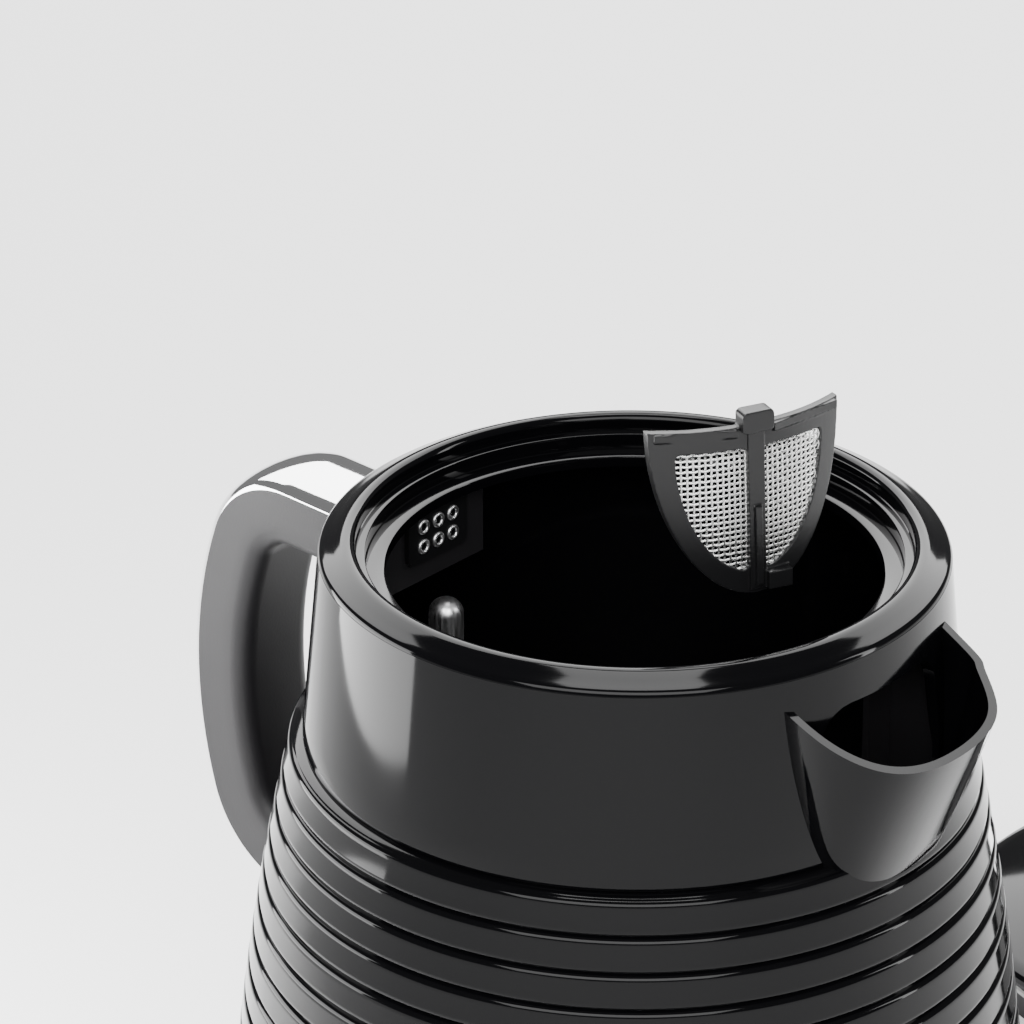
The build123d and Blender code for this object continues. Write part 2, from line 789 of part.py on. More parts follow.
for side, outline in windows.items():
    mesh = bowed_layer(outline, mesh_back, -mesh_back)
    write(mesh, f"filter_mesh_{side}")

# ---- cradle behind the spout that the filter drops into ---------------------------------------

cradle_x = filter_seat_x + filter_thickness / 2 + cradle_gap
cradle_half = filter_half_width + cradle_side_gap
cradle_low_z = rim_z - filter_seat_drop - filter_height / 2 - cradle_gap
cradle_high_z = rim_z - collar_depth - cradle_gap

with BuildPart() as filter_cradle:
    with BuildSketch(Plane.XY.offset(cradle_low_z - cradle_wall)):
        with Locations((cradle_x, 0)):
            Rectangle(60, 2 * (cradle_half + cradle_wall), align=(Align.MIN, Align.CENTER))
    extrude(amount=cradle_high_z - cradle_low_z + cradle_wall)
    with BuildSketch(Plane.XY.offset(cradle_low_z)):
        with Locations((cradle_x + cradle_wall, 0)):
            Rectangle(60, 2 * cradle_half, align=(Align.MIN, Align.CENTER))
    extrude(amount=60, mode=Mode.SUBTRACT)
    with BuildSketch(Plane.YZ.offset(cradle_x)):
        with Locations((0, (cradle_low_z + cradle_high_z) / 2 + cradle_wall)):
            Rectangle(2 * cradle_opening_half, cradle_high_z - cradle_low_z)
    extrude(amount=cradle_wall, mode=Mode.SUBTRACT)
    add(cavity.part, mode=Mode.INTERSECT)
write(filter_cradle.part, "filter_cradle")

# ---- power base -------------------------------------------------------------------------------

base_plate_top_z = base_plate_z + base_plate_thickness
screw_boss_top_z = base_height - base_wall

with BuildPart() as base_shell:
    with BuildSketch(Plane.XZ):
        with BuildLine():
            Polyline(
                (0, base_plate_z),
                (base_radius, base_plate_z),
                (base_radius, base_plate_z + base_skirt_height),
                (base_radius - base_shoulder_run, base_height),
                (0, base_height),
                (0, base_plate_z),
            )
        make_face()
    revolve(axis=Axis.Z)
    rim_edges = base_shell.edges().filter_by(GeomType.CIRCLE).filter_by_position(Axis.Z, 5.0, base_height)
    fillet(rim_edges.sort_by(Axis.Z)[-1:], base_edge_round)
    with BuildSketch(Plane.XZ):
        with BuildLine():
            Polyline(
                (0, base_plate_z - 1.0),
                (base_radius - base_wall, base_plate_z - 1.0),
                (base_radius - base_wall, base_plate_z + base_skirt_height),
                (base_radius - base_wall - base_edge_round, base_height - base_wall),
                (0, base_height - base_wall),
                (0, base_plate_z - 1.0),
            )
        make_face()
    revolve(axis=Axis.Z, mode=Mode.SUBTRACT)
    with BuildSketch(Plane.XY.offset(base_plate_top_z)):
        with PolarLocations(base_screw_circle_radius, base_screw_count, start_angle=60):
            Circle(screw_boss_radius)
            Circle(screw_radius, mode=Mode.SUBTRACT)
    extrude(amount=screw_boss_top_z - base_plate_top_z)
    with BuildSketch(Plane.XY.offset(base_height - base_wall)):
        Circle(socket_radius + base_fit)
    extrude(amount=2 * base_wall, mode=Mode.SUBTRACT)
    with BuildSketch(Plane.YZ.offset(-base_radius - 5)):
        with Locations((0, cord_gland_z)):
            Circle(cord_gland_radius)
    extrude(amount=20, mode=Mode.SUBTRACT)
write(base_shell.part, "base_shell")

with BuildPart() as base_plate:
    with BuildSketch(Plane.XY.offset(base_plate_z)):
        Circle(base_radius - base_wall - base_fit)
        with PolarLocations(base_screw_circle_radius, base_screw_count, start_angle=60):
            Circle(screw_radius, mode=Mode.SUBTRACT)
    extrude(amount=base_plate_thickness)
write(base_plate.part, "base_plate")

with BuildPart() as base_centre_foot:
    with BuildSketch(Plane.XY):
        Circle(centre_foot_radius)
    extrude(amount=base_plate_z)
write(base_centre_foot.part, "base_centre_foot")

with BuildPart() as base_feet:
    with BuildSketch(Plane.XY):
        with PolarLocations(foot_circle_radius, foot_count, start_angle=45):
            Circle(foot_radius)
    extrude(amount=foot_thickness)
    chamfer(base_feet.faces().filter_by(Axis.Z).sort_by(Axis.Z)[:foot_count].edges(), foot_chamfer)
write(base_feet.part, "base_feet")

with BuildPart() as base_screws:
    with BuildSketch(Plane.XY.offset(base_plate_z)):
        with PolarLocations(base_screw_circle_radius, base_screw_count, start_angle=60):
            Circle(screw_radius)
    extrude(amount=base_screw_length)
    with BuildSketch(Plane.XY.offset(base_plate_z - screw_head_height + screw_head_sink)):
        with PolarLocations(base_screw_circle_radius, base_screw_count, start_angle=60):
            Circle(screw_head_radius)
    extrude(amount=screw_head_height - screw_head_sink)
write(base_screws.part, "base_screws")

with BuildPart() as cord_gland:
    with BuildSketch(Plane.YZ.offset(-base_radius - gland_proud)):
        with Locations((0, cord_gland_z)):
            Circle(cord_gland_radius)
            Circle(cord_gland_bore, mode=Mode.SUBTRACT)
    extrude(amount=cord_gland_length)
    with BuildSketch(Plane.YZ.offset(-base_radius - gland_proud)):
        with Locations((0, cord_gland_z)):
            Circle(cord_gland_radius + gland_flange)
            Circle(cord_gland_bore, mode=Mode.SUBTRACT)
    extrude(amount=gland_flange_thickness)
write(cord_gland.part, "cord_gland")

with BuildPart() as base_socket:
    with BuildSketch(Plane.XY.offset(base_height - base_wall - socket_wall)):
        Circle(socket_flange_radius)
    extrude(amount=socket_wall)
    with BuildSketch(Plane.XY.offset(base_height - base_wall)):
        Circle(socket_radius)
    extrude(amount=socket_height + base_wall)
    fillet(base_socket.faces().sort_by(Axis.Z)[-1].edges(), socket_edge_round)
    with BuildSketch(Plane.XY.offset(base_height)):
        Circle(contact_ring_radius + 2 * contact_thickness)
        Circle(contact_ring_radius - 2 * contact_thickness, mode=Mode.SUBTRACT)
        Circle(contact_pin_radius)
    extrude(amount=socket_height, mode=Mode.SUBTRACT)
write(base_socket.part, "base_socket")

with BuildPart() as socket_contacts:
    with BuildSketch(Plane.XY.offset(base_height)):
        Circle(contact_ring_radius + contact_thickness / 2)
        Circle(contact_ring_radius - contact_thickness / 2, mode=Mode.SUBTRACT)
        Circle(pin_contact_radius)
        Circle(pin_contact_radius - contact_thickness, mode=Mode.SUBTRACT)
    extrude(amount=socket_height - contact_sink)
write(socket_contacts.part, "socket_contacts")

# ---- lid, lying on the table beside the base --------------------------------------------------

lid_axis = Axis((0, lid_park_y, 0), (0, 0, 1))
lid_section = Plane.XZ.offset(-lid_park_y)
lid_plug_radius = mouth_radius - lid_fit
lid_flange_radius = collar_step_radius - lid_fit
lid_cover_radius = collar_ledge_radius - lid_fit
lid_flange_z = lid_plug_height
lid_cover_z = lid_flange_z + lid_flange_thickness
lid_top_z = lid_cover_z + lid_cover_thickness + lid_crown

with BuildPart() as lid_inner:
    with BuildSketch(lid_section):
        with BuildLine():
            Polyline(
                (lid_plug_radius, 0),
                (lid_plug_radius, lid_flange_z),
                (lid_flange_radius, lid_flange_z),
                (lid_flange_radius, lid_cover_z),
                (0, lid_cover_z),
                (0, lid_cover_z - lid_wall),
                (lid_plug_radius - lid_wall, lid_cover_z - lid_wall),
                (lid_plug_radius - lid_wall, 0),
                (lid_plug_radius, 0),
            )
        make_face()
    revolve(axis=lid_axis)
    with BuildSketch(Plane.XY.offset(lid_plug_height / 2)):
        with Locations((0, lid_park_y)):
            Circle(lid_plug_radius + 1)
            Circle(lid_plug_radius - lid_seal_depth, mode=Mode.SUBTRACT)
    extrude(amount=lid_seal_thickness, mode=Mode.SUBTRACT)
    with BuildSketch(Plane.XY.offset(lid_cover_z - lid_wall)):
        with Locations((0, lid_park_y)):
            Circle(lid_fixing_screw_radius)
    extrude(amount=2 * lid_wall, mode=Mode.SUBTRACT)
write(lid_inner.part, "lid_inner")

with BuildPart() as lid_seal:
    with BuildSketch(Plane.XY.offset(lid_plug_height / 2)):
        with Locations((0, lid_park_y)):
            Circle(mouth_radius - lid_seal_fit)
            Circle(lid_plug_radius - lid_seal_depth, mode=Mode.SUBTRACT)
    extrude(amount=lid_seal_thickness)
    chamfer(lid_seal.edges().filter_by(GeomType.CIRCLE).sort_by(SortBy.RADIUS)[-2:], lid_seal_chamfer)
write(lid_seal.part, "lid_seal")

with BuildPart() as lid_cover:
    with BuildSketch(lid_section):
        with BuildLine():
            rim_top = (lid_cover_radius - lid_edge_bevel, lid_cover_z + lid_cover_thickness)
            Polyline(
                (lid_fixing_screw_radius, lid_cover_z),
                (lid_cover_radius, lid_cover_z),
                (lid_cover_radius, lid_cover_z + lid_cover_thickness - lid_edge_bevel),
                rim_top,
            )
            crown_middle = (lid_cover_radius / 2, lid_cover_z + lid_cover_thickness + 0.76 * lid_crown)
            ThreePointArc(rim_top, crown_middle, (lid_fixing_screw_radius, lid_top_z))
            Line((lid_fixing_screw_radius, lid_top_z), (lid_fixing_screw_radius, lid_cover_z))
        make_face()
    revolve(axis=lid_axis)
    with BuildSketch(Plane.XY.offset(lid_top_z - lid_knob_seat)):
        with Locations((0, lid_park_y)):
            Circle(lid_knob_waist)
    extrude(amount=2 * lid_crown, mode=Mode.SUBTRACT)
write(lid_cover.part, "lid_cover")

with BuildPart() as lid_knob:
    knob_z = lid_top_z - lid_knob_seat
    with BuildSketch(lid_section):
        with BuildLine():
            knob_top = (lid_knob_radius - lid_knob_edge, knob_z + lid_knob_height)
            Line((0, knob_z), (lid_knob_waist, knob_z))
            widest = (lid_knob_radius, knob_z + 0.85 * lid_knob_height)
            neck = (lid_knob_waist + 0.4, knob_z + 0.5 * lid_knob_height)
            ThreePointArc((lid_knob_waist, knob_z), neck, widest)
            Line(widest, knob_top)
            Line(knob_top, (0, knob_z + lid_knob_height))
            Line((0, knob_z + lid_knob_height), (0, knob_z))
        make_face()
    revolve(axis=lid_axis)
    with BuildSketch(Plane.XY.offset(knob_z)):
        with Locations((0, lid_park_y)):
            Circle(lid_fixing_screw_radius)
    extrude(amount=lid_knob_height / 2, mode=Mode.SUBTRACT)
write(lid_knob.part, "lid_knob")

with BuildPart() as lid_screw:
    screw_low_z = lid_cover_z - lid_wall
    with BuildSketch(Plane.XY.offset(screw_low_z)):
        with Locations((0, lid_park_y)):
            Circle(lid_fixing_screw_radius)
    extrude(amount=knob_z + lid_knob_height / 2 - lid_screw_end_gap - screw_low_z)
    with BuildSketch(Plane.XY.offset(screw_low_z - screw_head_height)):
        with Locations((0, lid_park_y)):
            Circle(2 * lid_fixing_screw_radius)
    extrude(amount=screw_head_height)
write(lid_screw.part, "lid_screw")
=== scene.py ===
import json
import math

import bmesh
import bpy
from bpy.props import FloatProperty, IntProperty, PointerProperty, StringProperty
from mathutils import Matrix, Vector

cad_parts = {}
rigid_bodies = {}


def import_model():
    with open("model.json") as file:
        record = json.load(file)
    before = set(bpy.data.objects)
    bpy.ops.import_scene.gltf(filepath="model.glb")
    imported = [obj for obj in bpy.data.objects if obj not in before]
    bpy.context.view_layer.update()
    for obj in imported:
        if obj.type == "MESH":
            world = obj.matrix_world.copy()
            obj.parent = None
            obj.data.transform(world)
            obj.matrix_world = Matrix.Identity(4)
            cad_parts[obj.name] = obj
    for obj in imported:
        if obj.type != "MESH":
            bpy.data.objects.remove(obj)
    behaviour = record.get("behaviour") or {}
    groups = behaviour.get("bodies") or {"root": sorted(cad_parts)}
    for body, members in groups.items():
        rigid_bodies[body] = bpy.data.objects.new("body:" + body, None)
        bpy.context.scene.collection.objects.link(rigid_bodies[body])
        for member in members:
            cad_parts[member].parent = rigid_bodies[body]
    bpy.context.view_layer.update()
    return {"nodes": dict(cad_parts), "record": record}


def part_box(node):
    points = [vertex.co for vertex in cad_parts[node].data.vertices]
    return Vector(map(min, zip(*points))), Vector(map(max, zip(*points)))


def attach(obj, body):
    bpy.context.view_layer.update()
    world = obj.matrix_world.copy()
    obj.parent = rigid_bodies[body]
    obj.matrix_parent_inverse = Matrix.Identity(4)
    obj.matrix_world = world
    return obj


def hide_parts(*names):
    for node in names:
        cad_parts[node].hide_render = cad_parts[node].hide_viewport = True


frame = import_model()

bl_info = {
    "name": "Electric kettle with a lift-out filter",
    "version": (1, 0, 0),
    "blender": (4, 5, 0),
    "location": "3D View > Sidebar > Kettle",
    "description": "Builds the finished surfaces of a ribbed electric kettle around its CAD frame",
    "category": "Add Mesh",
}

MM = 0.001
NODES = frame["nodes"]
SHELL_LOW, SHELL_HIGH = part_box("body_shell")
COLLAR_LOW, COLLAR_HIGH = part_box("collar_ring")

# The outer wall: a plain band under the rim, then ribs on a bulging cone down to the foot.
COLLAR_DEPTH = 6.5 * MM
RIM = COLLAR_LOW.z + COLLAR_DEPTH
BODY = RIM - SHELL_LOW.z
BAND = 41.0 * MM
RIM_RADIUS = 62.0 * MM
BAND_FOOT = 65.8 * MM
RIB_TOP = 68.2 * MM
FOOT_RADIUS = SHELL_HIGH.x
BULGE = 0.85

WELD = 0.002 * MM
ROUND_EDGE = 40  # Degrees: edges flatter than this are shaded smooth
FINISHES = {}  # Materials by slot name, filled by the finishes operator


# ---- small helpers -------------------------------------------------------------------------

def deselect():
    """Leave nothing selected."""
    if bpy.context.mode != "OBJECT":
        bpy.ops.object.mode_set(mode="OBJECT")
    bpy.ops.object.select_all(action="DESELECT")


def choose(piece):
    """Make one object the only selected and active one."""
    deselect()
    piece.select_set(True)
    bpy.context.view_layer.objects.active = piece


def edit(piece, mode="VERT"):
    """Open a piece in edit mode with all of it selected."""
    choose(piece)
    bpy.ops.object.mode_set(mode="EDIT")
    bpy.ops.mesh.select_mode(type=mode)
    bpy.ops.mesh.select_all(action="SELECT")


def finish_mesh(piece, angle, recalculate=True):
    """Merge doubles, point the faces outwards and smooth all edges under an angle."""
    edit(piece)
    bpy.ops.mesh.remove_doubles(threshold=WELD)
    if recalculate:
        bpy.ops.mesh.normals_make_consistent(inside=False)
    bpy.ops.object.mode_set(mode="OBJECT")
    bpy.ops.object.shade_smooth_by_angle(angle=math.radians(angle))


def merged_copy(name, angle):
    """A copy of a CAD node whose triangles are merged, with smooth shading."""
    choose(NODES[name])
    bpy.ops.object.duplicate()
    piece = bpy.context.object
    piece.name = "shaped_" + name
    bpy.ops.object.parent_clear(type="CLEAR_KEEP_TRANSFORM")
    bpy.ops.mesh.customdata_custom_splitnormals_clear()
    finish_mesh(piece, angle, recalculate=False)
    return piece


def paint(piece, slot):
    """Give a piece one finish and no other."""
    piece.data.materials.clear()
    piece.data.materials.append(FINISHES[slot])


def join(pieces):
    """Make one object of several, which keeps the first one's name."""
    choose(pieces[0])
    for piece in pieces[1:]:
        piece.select_set(True)
    bpy.ops.object.join()


def bind(piece, *nodes):
    """Let a piece ride on its nodes' body, stand for them and take their finish."""
    record = frame["record"]
    body = next(b for b, held in record["behaviour"]["bodies"].items() if nodes[0] in held)
    slot = next(entry["material_slot"] for entry in record["subparts"] if entry["node"] == nodes[0])
    paint(piece, slot)
    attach(piece, body)
    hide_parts(*nodes)


def wall_radius(z):
    """Outer radius of the kettle's wall over the rib tops at a height."""
    depth = RIM - z
    if depth <= BAND:
        return RIM_RADIUS + (BAND_FOOT - RIM_RADIUS) * depth / BAND
    share = (depth - BAND) / (BODY - BAND)
    return RIB_TOP + (FOOT_RADIUS - RIB_TOP) * share * (1 + BULGE * (1 - share))


def linear(hex_colour):
    """Linear colour of an sRGB hex value such as 1a1a1c."""
    parts = [int(hex_colour[i : i + 2], 16) / 255 for i in (0, 2, 4)]
    return tuple(c / 12.92 if c <= 0.04045 else ((c + 0.055) / 1.055) ** 2.4 for c in parts) + (1.0,)


def add_node(tree, kind, settings=None, links=None):
    """Add a node, set its attributes or sockets by name, and link its inputs."""
    node = tree.nodes.new(kind)
    for name, value in (settings or {}).items():
        if isinstance(name, int) or name in node.inputs:
            node.inputs[name].default_value = value
        else:
            setattr(node, name, value)
    for name, source in (links or {}).items():
        tree.links.new(source, node.inputs[name])
    return node


def new_material(name):
    """An empty material with its output node and Object coordinates."""
    material = bpy.data.materials.new(name)
    material.use_nodes = True
    tree = material.node_tree
    tree.nodes.clear()
    output = add_node(tree, "ShaderNodeOutputMaterial")
    place = add_node(tree, "ShaderNodeTexCoord").outputs["Object"]
    return material, tree, output, place


GLOSS_DRIFT = 35.0  # mm across a patch of slightly duller or brighter plastic
NOISE_RANGE = {"From Min": 0.3, "From Max": 0.7}  # Where nearly all of a noise's values lie


def per_mm(size):
    """Noise scale whose features are about that many millimetres across."""
    return 1000.0 / size


def moulded(name, colour, rough, grain, bump, spread=0.04, ior=1.5, specular=0.5):
    """Injection-moulded plastic: one colour, a slight drift in gloss and a mould grain in mm."""
    material, tree, output, place = new_material(name)
    drift = add_node(
        tree, "ShaderNodeTexNoise", {"Scale": per_mm(GLOSS_DRIFT), "Detail": 3.0}, {"Vector": place}
    )
    gloss = add_node(
        tree,
        "ShaderNodeMapRange",
        {**NOISE_RANGE, "To Min": max(0.0, rough - spread), "To Max": rough + spread},
        {"Value": drift.outputs[0]},
    )
    grit = add_node(
        tree, "ShaderNodeTexNoise", {"Scale": per_mm(grain), "Detail": 2.0}, {"Vector": place}
    )
    relief = add_node(
        tree,
        "ShaderNodeBump",
        {"Strength": bump, "Distance": 0.1 * MM},
        {"Height": grit.outputs[0]},
    )
    shader = add_node(
        tree,
        "ShaderNodeBsdfPrincipled",
        {"Base Color": linear(colour), "IOR": ior, "Specular IOR Level": specular},
        {"Roughness": gloss.outputs[0], "Normal": relief.outputs[0]},
    )
    tree.links.new(shader.outputs[0], output.inputs["Surface"])
    return material


def metal(name, colour, rough, grain, stretch, bump):
    """Bare or plated metal: a grain in mm, drawn out into lines where the stretch is small."""
    material, tree, output, place = new_material(name)
    drawn = add_node(tree, "ShaderNodeMapping", {"Scale": stretch}, {"Vector": place})
    lines = add_node(
        tree,
        "ShaderNodeTexNoise",
        {"Scale": per_mm(grain), "Detail": 4.0},
        {"Vector": drawn.outputs[0]},
    )
    gloss = add_node(
        tree,
        "ShaderNodeMapRange",
        {**NOISE_RANGE, "To Min": 0.7 * rough, "To Max": 1.3 * rough},
        {"Value": lines.outputs[0]},
    )
    relief = add_node(
        tree,
        "ShaderNodeBump",
        {"Strength": bump, "Distance": 0.05 * MM},
        {"Height": lines.outputs[0]},
    )
    shader = add_node(
        tree,
        "ShaderNodeBsdfPrincipled",
        {"Base Color": linear(colour), "Metallic": 1.0},
        {"Roughness": gloss.outputs[0], "Normal": relief.outputs[0]},
    )
    tree.links.new(shader.outputs[0], output.inputs["Surface"])
    return material


def all_materials():
    """The kettle's finishes, by the record's slot names."""
    return {
        # High-gloss moulded polypropylene: near black, mirror-like with a faint ripple 9 mm across.
        "black_gloss": moulded(
            "gloss_black_polypropylene", "040405", 0.07, 9.0, 0.02, spread=0.02, specular=0.13
        ),
        # Spark-eroded matt polypropylene: charcoal, a soft sheen broken by grains of half a
        # millimetre, which is coarser than the real ones so that they show.
        "black_matt": moulded("matt_black_polypropylene", "121113", 0.5, 0.5, 0.25, specular=0.3),
        # Satin nylon of the filter frame and small mouldings: black with an even, low sheen.
        "black_satin": moulded("satin_black_nylon", "0d0d0e", 0.32, 0.8, 0.12, specular=0.3),
        # Natural moulded nylon of the hidden control block: off-white, half matt.
        "white_plastic": moulded("white_control_nylon", "c9c7bd", 0.4, 0.8, 0.1),
        # Plated chrome: a clean mirror.
        "chrome": metal("bright_chrome_plate", "e3e3e4", 0.05, 0.6, (1.0, 1.0, 1.0), 0.01),
        # Drawn stainless steel: fine lines along the tube, half a millimetre apart so that they
        # show.
        "steel": metal("drawn_stainless_steel", "d2d2d3", 0.36, 0.5, (1.0, 1.0, 0.06), 0.08),
        # Woven stainless wire: bright, with drawing marks under a third of a millimetre.
        "steel_mesh": metal("woven_stainless_wire", "c9c9c8", 0.26, 0.3, (1.0, 1.0, 1.0), 0.03),
        # Stamped brass contacts: warm and half polished, with short rubbed lines.
        "brass": metal("stamped_brass", "c9a25a", 0.25, 0.5, (1.0, 1.0, 0.2), 0.05),
        # Grey silicone: soft and dull, taken as opaque because the seal is thick.
        "silicone": moulded("grey_silicone", "8e8e8c", 0.5, 0.6, 0.1, ior=1.41),
        # Black rubber of the feet and gland: dull, with a coarse tooth.
        "rubber": moulded("black_rubber", "151515", 0.7, 0.5, 0.3, ior=1.48),
        # Polished red lens of the lamp: taken as opaque, since no light is on behind it.
        "lamp_red": moulded("red_lamp_lens", "7a1510", 0.12, 3.0, 0.02),
    }


# ---- sizes a user may change ---------------------------------------------------------------


class KettleStage(bpy.types.PropertyGroup):
    """Camera and floor."""

    azimuth: FloatProperty(
        name="Camera azimuth", description="Degrees to the right of the -Y direction", default=41.3
    )
    elevation: FloatProperty(name="Camera elevation", description="Degrees above level", default=26.15)
    distance: FloatProperty(
        name="Camera distance", description="From the aim point", default=1.0866, unit="LENGTH"
    )
    aim_side: FloatProperty(
        name="Aim to the side", description="Aim point left of the axis", default=-0.0240, unit="LENGTH"
    )
    aim_rise: FloatProperty(
        name="Aim above rim", description="Aim point above the collar", default=0.0072, unit="LENGTH"
    )
    lens: FloatProperty(name="Lens", description="Focal length on a 36 mm sensor", default=195.9)
    floor_colour: StringProperty(name="Floor colour", description="sRGB hex", default="f4f4f4")


# ---- pieces -----------------------------------------------------------------------------


def ring_of_points(name, count, fill):
    """A closed ring of points, open or filled with one face, ready to be moved into an outline."""
    bpy.ops.mesh.primitive_circle_add(
        vertices=count, radius=10 * MM, fill_type=fill, location=(0, 0, 0)
    )
    piece = bpy.context.object
    piece.name = name
    return piece


def turned(name, outline, steps, angle):
    """Spin a closed outline of (radius, height) points about the kettle's axis."""
    piece = ring_of_points(name, len(outline), "NOTHING")
    for vertex, (radius, height) in zip(piece.data.vertices, outline):
        vertex.co = (radius, 0, height)
    edit(piece)
    bpy.ops.mesh.spin(
        steps=steps, angle=math.radians(360), center=(0, 0, 0), axis=(0, 0, 1), dupli=False
    )
    finish_mesh(piece, angle)
    return piece


def cut(piece, cutter):
    """Take a cutter's shape out of a piece and remove the cutter."""
    choose(piece)
    modifier = piece.modifiers.new("cut", "BOOLEAN")
    modifier.operation = "DIFFERENCE"
    modifier.solver = "EXACT"
    modifier.object = cutter
    bpy.ops.object.modifier_apply(modifier=modifier.name)
    bpy.data.objects.remove(cutter, do_unlink=True)


def moved_cube(corner):
    """A cube whose corners go where a function of their ends, 0 or 1 along each axis, puts them."""
    bpy.ops.mesh.primitive_cube_add(size=1.0, location=(0, 0, 0))
    cube = bpy.context.object
    for vertex in cube.data.vertices:
        vertex.co = corner(*(int(place > 0) for place in vertex.co))
    return cube


def block(low, high, rounding):
    """A cutter between two corners, its edges along X rounded."""
    ends = (low, high)
    cutter = moved_cube(lambda i, j, k: (ends[i][0], ends[j][1], ends[k][2]))
    edit(cutter, "EDGE")
    bpy.ops.mesh.select_all(action="DESELECT")
    mesh = bmesh.from_edit_mesh(cutter.data)
    for one in mesh.edges:
        one.select = abs(one.verts[0].co.x - one.verts[1].co.x) > 1 * MM
    bmesh.update_edit_mesh(cutter.data)
    bpy.ops.mesh.bevel(offset=rounding, segments=6, affect="EDGES")
    bpy.ops.object.mode_set(mode="OBJECT")
    return cutter


# One groove's lip as (rise above the groove, step in from the wall) in mm, then its floor's height.
RIB_LIP = ((1.5, 0.0), (1.0, 0.05), (0.7, 0.2), (0.45, 0.42))
GROOVE_FLOOR = 0.12 * MM
# Where the rounded shoulder under a groove has its points, and how fast it fills out.
SHOULDER_SHARES = (0.04, 0.12, 0.25, 0.42, 0.65, 1.0)
SHOULDER_POWER = 3.8
BAND_DROPS = (12.0, 24.0, 34.0)  # Points of the plain band below the rim, in mm
FOOT_CHAMFER = 1.4 * MM
INSIDE_RISES = (0, 25, 55, 85, 110)  # Points of the inner wall above the foot, in mm

# Openings in the wall, in mm: span in x, half width, reach below and above the middle, rounding.
SPOUT_WINDOW = ((37.0, 78.0), 18.0, (13.5, 13.5), 8.0)
WINDOW_DROP = 22.5 * MM
NODE_OPENINGS = {
    "switch_lever": ((-90.0, -68.0), 9.2, (5.3, 5.9), 2.0),
    "indicator_lamp": ((-90.0, -68.0), 3.0, (3.0, 3.0), 2.9),
}

# The collar from its lip to its foot inside the mouth, as (radius, rise above the rim) in mm.
COLLAR_SECTION = (
    (61.92, -0.35), (61.68, 0.05), (61.25, 0.35), (60.6, 0.6),  # Outer lip
    (59.1, 1.42), (57.7, 2.12), (57.2, 2.32), (56.6, 2.42), (56.0, 2.4), (55.4, 2.2),  # Crown
    (55.0, 1.82), (54.75, 1.4), (54.7, 0.9), (54.7, -0.85), (54.5, -1.0),  # Wall down to the ledge
    (53.1, -1.0), (52.88, -1.08), (52.8, -1.3), (52.8, -4.0), (52.6, -4.2),  # Ledge and its step
    (49.4, -4.2), (49.05, -4.34), (48.9, -4.7), (48.9, -6.5),  # Shelf for the lid
)
COLLAR_SKIRT = 0.9 * MM
COLLAR_GAP = 0.1 * MM


def opening(piece, middle, spans):
    """Cut one round-cornered opening through the wall about a height."""
    (near, far), half, (below, above), rounding = spans
    low = (near * MM, -half * MM, middle - below * MM)
    high = (far * MM, half * MM, middle + above * MM)
    cut(piece, block(low, high, rounding * MM))


class KettleBody(bpy.types.PropertyGroup):
    """The ribbed body's outside."""

    rib_pitch: FloatProperty(
        name="Rib pitch", description="Height of one rib", default=7.2 * MM, unit="LENGTH"
    )
    ribs: IntProperty(name="Ribs", description="Number of ribs below the plain band", default=17, min=1)
    groove: FloatProperty(
        name="Groove", description="Depth between ribs", default=1.0 * MM, unit="LENGTH"
    )
    shoulder: FloatProperty(
        name="Shoulder", description="Height of a rib's rounded top", default=1.7 * MM, unit="LENGTH"
    )
    wall: FloatProperty(name="Wall", description="Under the grooves", default=2.4 * MM, unit="LENGTH")
    steps: IntProperty(name="Steps", description="Facets round the body", default=256, min=32)


class KETTLE_OT_body(bpy.types.Operator):
    """Ribbed gloss body, turned from its outline, with its spout window, switch slot and lamp hole"""

    bl_idname = "kettle.body"
    bl_label = "Body"

    def execute(self, context):
        sizes = context.scene.kettle_body
        top, foot = SHELL_HIGH.z, SHELL_LOW.z
        outline = [(wall_radius(top), top)]
        for drop in BAND_DROPS:
            outline.append((wall_radius(RIM - drop * MM), RIM - drop * MM))
        for rib in range(sizes.ribs):
            height = RIM - BAND - rib * sizes.rib_pitch
            for rise, step in RIB_LIP:
                outline.append((wall_radius(height + rise * MM) - step * MM, height + rise * MM))
            groove = wall_radius(height) - sizes.groove
            outline.append((groove, height + GROOVE_FLOOR))
            full = wall_radius(height - sizes.shoulder)
            for share in SHOULDER_SHARES:
                radius = groove + (full - groove) * (1 - (1 - share) ** SHOULDER_POWER)
                outline.append((radius, height - share * sizes.shoulder))
        outline += [(FOOT_RADIUS, foot + FOOT_CHAMFER), (FOOT_RADIUS - FOOT_CHAMFER, foot)]
        inset = sizes.groove + sizes.wall
        collar_foot = RIM - COLLAR_DEPTH
        for height in [foot + rise * MM for rise in INSIDE_RISES] + [collar_foot]:
            outline.append((wall_radius(height) - inset, height))
        outline.append((wall_radius(collar_foot) - inset, top))
        piece = turned("ribbed_body", outline, sizes.steps, ROUND_EDGE)
        opening(piece, RIM - WINDOW_DROP, SPOUT_WINDOW)
        for node, spans in NODE_OPENINGS.items():
            low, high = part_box(node)
            opening(piece, (low.z + high.z) / 2, spans)
        bpy.ops.object.shade_smooth_by_angle(angle=math.radians(ROUND_EDGE))
        bind(piece, "body_shell")

        inner = wall_radius(collar_foot) - inset - COLLAR_GAP
        collar = [(COLLAR_HIGH.x, RIM - COLLAR_SKIRT)]
        collar += [(radius * MM, RIM + rise * MM) for radius, rise in COLLAR_SECTION]
        collar += [(inner, collar_foot), (inner, RIM - COLLAR_SKIRT)]
        bind(turned("collar", collar, sizes.steps, 36), "collar_ring")
        return {"FINISHED"}


